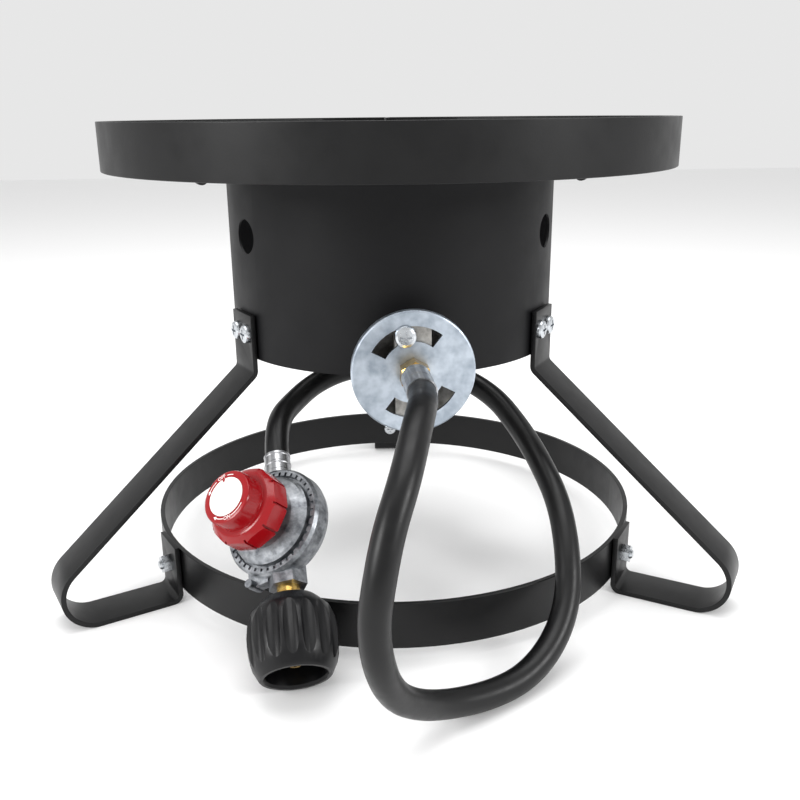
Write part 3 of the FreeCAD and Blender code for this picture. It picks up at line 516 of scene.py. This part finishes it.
def printed_marks():
    """The knob's ON and OFF arrows, in millimetres in the knob's own frame."""
    form = bmesh.new()
    for first, last, word, middle, way in PRINTS:
        gap = LETTER_DEG * len(word) + WORD_MARGIN_DEG
        near, far = middle - way * gap, middle + way * gap
        for a, b in ((first, near), (far, last)):
            arc_line(form, PRINT_RADIUS, PRINT_WIDE, KNOB_TOP, PRINT_THICK, a, b)
        arrow_head(form, PRINT_RADIUS, KNOB_TOP, PRINT_THICK, last, way)
        letters = word_mesh(word, LETTER_TALL)
        letters.transform(
            Matrix.Rotation(math.radians(middle if way > 0 else middle - 180), 4, "Z")
            @ Matrix.Translation((way * PRINT_RADIUS, 0, KNOB_TOP + PRINT_THICK / 2))
            @ Matrix.Rotation(math.radians(-90), 4, "Z")
        )
        form.from_mesh(letters)
        bpy.data.meshes.remove(letters)
    return form


def settle(form, name):
    """Turn a form in the knob's own millimetres into a mesh in the row frame."""
    bmesh.ops.transform(form, matrix=knob_frame() @ Matrix.Scale(MM, 4), verts=form.verts)
    bmesh.ops.remove_doubles(form, verts=form.verts, dist=0.001 * MM)
    bmesh.ops.recalc_face_normals(form, faces=form.faces)
    mesh = bpy.data.meshes.new(name)
    form.to_mesh(mesh)
    form.free()
    return mesh


# ---------------------------------------------------------------- properties


class CookerLook(bpy.types.PropertyGroup):
    """What a user would change on the finishes."""

    bar_roughness: FloatProperty(
        name="Bar gloss", description="Roughness of the bar's coat", default=0.38, min=0, max=1
    )
    sheet_roughness: FloatProperty(
        name="Shield gloss", description="Roughness of the shield's coat", default=0.5, min=0, max=1
    )
    knob_roughness: FloatProperty(
        name="Knob gloss", description="Roughness of the knob", default=0.18, min=0, max=1
    )
    hose_roughness: FloatProperty(
        name="Hose gloss", description="Roughness of the hose", default=0.38, min=0, max=1
    )
    knob_colour: FloatVectorProperty(
        name="Knob colour",
        description="Colour of the knob's plastic",
        subtype="COLOR",
        size=3,
        default=linear("#8c0810")[:3],
    )


class CookerSizes(bpy.types.PropertyGroup):
    """Sizes of what is added round the frame."""

    hose_diameter: FloatProperty(
        name="Hose diameter",
        description="Outer diameter of the hose",
        default=HOSE_DIAMETER,
        unit="LENGTH",
        subtype="DISTANCE",
    )
    hose_sides: IntProperty(
        name="Hose roundness", description="Bevel resolution of the hose", default=10, min=4
    )
    floor_width: FloatProperty(
        name="Floor width",
        description="Width of the floor",
        default=8.0,
        unit="LENGTH",
        subtype="DISTANCE",
    )


# ---------------------------------------------------------------- operators


class COOKER_OT_stand(bpy.types.Operator):
    """Finish the hoop, ring, legs, supports, bracket and shield"""

    bl_idname = "cooker.stand"
    bl_label = "Stand"

    def execute(self, context):
        look = context.scene.cooker_look
        coat = powder_coat_bar(look)
        for name in ("top_hoop", "base_ring", "burner_bracket"):
            paint(name, coat)
        for i in (1, 2, 3):
            softened(f"leg_{i}", coat, "stand", 0.5)
            paint(f"pot_support_{i}", coat)
        paint("wind_shield", powder_coat_sheet(look))
        return {"FINISHED"}


class COOKER_OT_fasteners(bpy.types.Operator):
    """Finish the zinc-plated screws, bolts and nuts"""

    bl_idname = "cooker.fasteners"
    bl_label = "Fasteners"

    def execute(self, context):
        zinc = zinc_plate(context.scene.cooker_look)
        for name in (
            "leg_screws",
            "leg_screw_nuts",
            "ring_bolts",
            "ring_bolt_nuts",
            "burner_bolts",
            "burner_bolt_nuts",
            "burner_cap_screw",
            "shutter_lock_screw",
        ):
            paint(name, zinc)
        return {"FINISHED"}


class COOKER_OT_burner(bpy.types.Operator):
    """Finish the casting, its cap, the shutter and the gas orifice"""

    bl_idname = "cooker.burner"
    bl_label = "Burner"

    def execute(self, context):
        look = context.scene.cooker_look
        casting = bare_casting(look)
        paint("burner_casting", casting)
        paint("burner_cap", casting)
        paint("air_shutter", zinc_sheet(look))
        paint("gas_orifice", machined_brass(look))
        return {"FINISHED"}


class COOKER_OT_regulator(bpy.types.Operator):
    """Finish the regulator, what is sealed in it, its nipple and the tank nut"""

    bl_idname = "cooker.regulator"
    bl_label = "Regulator"

    def execute(self, context):
        look = context.scene.cooker_look
        zinc = die_cast_zinc(look)
        brass = machined_brass(look)
        steel = zinc_plate(look)
        paint("regulator_body", zinc)
        paint("regulator_bonnet", zinc)
        for name in ("diaphragm_plate", "adjusting_spring", "spring_seat", "flow_check_ball"):
            paint(name, steel)
        paint("diaphragm", sheet_rubber(look))
        paint("inlet_nipple", brass)
        paint("adjusting_stem", brass)
        softened("tank_nut", moulded_nylon(look), "tank_nut", 0.5)
        return {"FINISHED"}


class COOKER_OT_knob(bpy.types.Operator):
    """Finish the pressure knob and its label"""

    bl_idname = "cooker.knob"
    bl_label = "Pressure knob"

    def execute(self, context):
        look = context.scene.cooker_look
        softened("pressure_knob", moulded_red(look), "pressure_knob", 0.7, 4)
        paint("knob_label", printed_white(look))
        crimp_relief_and_shade = settle(printed_marks(), "knob_marks")
        print_piece = new_piece("knob_marks", crimp_relief_and_shade, white_print(look), "pressure_knob")
        form = bmesh.new()
        plate(form, LABEL_POINTER, LABEL_TOP, PRINT_THICK)
        pointer = settle(form, "label_pointer")
        red = bpy.data.materials["glossy_red_abs"]
        new_piece("label_pointer", pointer, red, "pressure_knob")
        return {"FINISHED"}


class COOKER_OT_hose(bpy.types.Operator):
    """Run the gas hose from the burner round to the regulator"""

    bl_idname = "cooker.hose"
    bl_label = "Gas hose"

    def execute(self, context):
        sizes = context.scene.cooker_sizes
        first = [
            Vector((0, -HOSE_START, TUBE_HEIGHT)),
            Vector((0, -HOSE_START - HOSE_STRAIGHT, TUBE_HEIGHT)),
        ]
        seat = KNOB_CENTRE / MM
        last = [
            seat + INLET_AXIS * (HOSE_END_REACH + HOSE_STRAIGHT),
            seat + INLET_AXIS * HOSE_END_REACH,
        ]
        route = [point * MM for point in first + [Vector(p) for p in HOSE_MIDDLE] + last]
        curve = bpy.data.curves.new("gas_hose", "CURVE")
        curve.dimensions = "3D"
        line = curve.splines.new("NURBS")
        line.points.add(len(route) - 1)
        for point, place in zip(line.points, route):
            point.co = (*place, 1.0)
        line.order_u = 3
        line.use_endpoint_u = True
        line.resolution_u = 12
        curve.bevel_depth = sizes.hose_diameter / 2
        curve.bevel_resolution = sizes.hose_sides
        curve.use_fill_caps = True
        curve.materials.append(hose_rubber(context.scene.cooker_look))
        hose = bpy.data.objects.new("gas_hose", curve)
        context.scene.collection.objects.link(hose)
        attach(hose, "stand")
        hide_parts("hose")
        added = ("pressure_knob_finish", "knob_marks", "label_pointer", "tank_nut_finish")
        on_hose = [nodes[name] for name in RIDES_ON_HOSE]
        on_hose += [bpy.data.objects[name] for name in added]
        paint(
            "hose_ferrule_burner",
            plated_crimp(
                "crimped_plated_steel", Vector((0, 0, TUBE_HEIGHT * MM)), Vector((0, -1, 0))
            ),
        )
        paint(
            "hose_ferrule_regulator",
            plated_crimp("crimped_plated_steel_end", KNOB_CENTRE, INLET_AXIS),
        )
        return {"FINISHED"}


class COOKER_OT_stage(bpy.types.Operator):
    """Lay the pale floor, hang the soft lights and set the camera"""

    bl_idname = "cooker.stage"
    bl_label = "Stage"

    def execute(self, context):
        half = context.scene.cooker_sizes.floor_width / 2
        form = bmesh.new()
        bmesh.ops.create_grid(form, x_segments=1, y_segments=1, size=half)
        mesh = bpy.data.meshes.new("studio_floor")
        form.to_mesh(mesh)
        form.free()
        floor = bpy.data.objects.new("studio_floor", mesh)
        context.scene.collection.objects.link(floor)
        board, _, _ = new_material("matt_white_board", "#f4f4f4", 0.8)
        mesh.materials.append(board)
        self.light(context)
        self.camera(context)
        return {"FINISHED"}

    def light(self, context):
        world = bpy.data.worlds.new("studio_air")
        world.use_nodes = True
        air = world.node_tree.nodes["Background"]
        air.inputs["Color"].default_value = (1, 1, 1, 1)
        air.inputs["Strength"].default_value = AIR_STRENGTH
        context.scene.world = world
        context.scene.view_settings.view_transform = "Standard"
        for name, place, size, watts in SOFTBOXES:
            lamp = bpy.data.lights.new(name, "AREA")
            lamp.energy = watts
            lamp.size = size
            stand = bpy.data.objects.new(name, lamp)
            aim = Vector(LIGHT_TARGET) - Vector(place)
            stand.matrix_world = Matrix.Translation(place) @ aim.to_track_quat(
                "-Z", "Y"
            ).to_matrix().to_4x4()
            context.scene.collection.objects.link(stand)

    def camera(self, context):
        heading, pitch, roll = (
            math.radians(angle) for angle in (CAMERA_HEADING, CAMERA_PITCH, CAMERA_ROLL)
        )
        forward = Vector(
            (
                math.cos(pitch) * math.cos(heading),
                math.cos(pitch) * math.sin(heading),
                -math.sin(pitch),
            )
        )
        level = Vector((math.sin(heading), -math.cos(heading), 0))
        up = level.cross(forward)
        right = level * math.cos(roll) + up * math.sin(roll)
        up = up * math.cos(roll) - level * math.sin(roll)
        lens = bpy.data.cameras.new("camera")
        lens.sensor_width = CAMERA_SENSOR
        lens.lens = CAMERA_LENS
        lens.clip_start = 0.01
        camera = bpy.data.objects.new("camera", lens)
        turn = Matrix((right, up, -forward)).transposed().to_4x4()
        camera.matrix_world = Matrix.Translation(CAMERA_PLACE) @ turn
        context.scene.collection.objects.link(camera)
        context.scene.camera = camera


class COOKER_PT_panel(bpy.types.Panel):
    """Lists the cooker's pieces and finishes"""

    bl_idname = "COOKER_PT_panel"
    bl_label = "Outdoor cooker"
    bl_space_type = "VIEW_3D"
    bl_region_type = "UI"
    bl_category = "Cooker"

    def draw(self, context):
        column = self.layout.column()
        for operator in OPERATORS:
            column.operator(operator.bl_idname)
        for group in (context.scene.cooker_look, context.scene.cooker_sizes):
            for key in group.__annotations__:
                column.prop(group, key)


OPERATORS = (
    COOKER_OT_stand,
    COOKER_OT_fasteners,
    COOKER_OT_burner,
    COOKER_OT_regulator,
    COOKER_OT_knob,
    COOKER_OT_hose,
    COOKER_OT_stage,
)
CLASSES = (CookerLook, CookerSizes, *OPERATORS, COOKER_PT_panel)


def register():
    for each in CLASSES:
        bpy.utils.register_class(each)
    bpy.types.Scene.cooker_look = PointerProperty(type=CookerLook)
    bpy.types.Scene.cooker_sizes = PointerProperty(type=CookerSizes)


def unregister():
    del bpy.types.Scene.cooker_sizes
    del bpy.types.Scene.cooker_look
    for each in reversed(CLASSES):
        bpy.utils.unregister_class(each)


def main():
    register()
    bpy.ops.cooker.stand()
    bpy.ops.cooker.fasteners()
    bpy.ops.cooker.burner()
    bpy.ops.cooker.regulator()
    bpy.ops.cooker.knob()
    bpy.ops.cooker.hose()
    bpy.ops.cooker.stage()


if __name__ == "__main__":
    main()
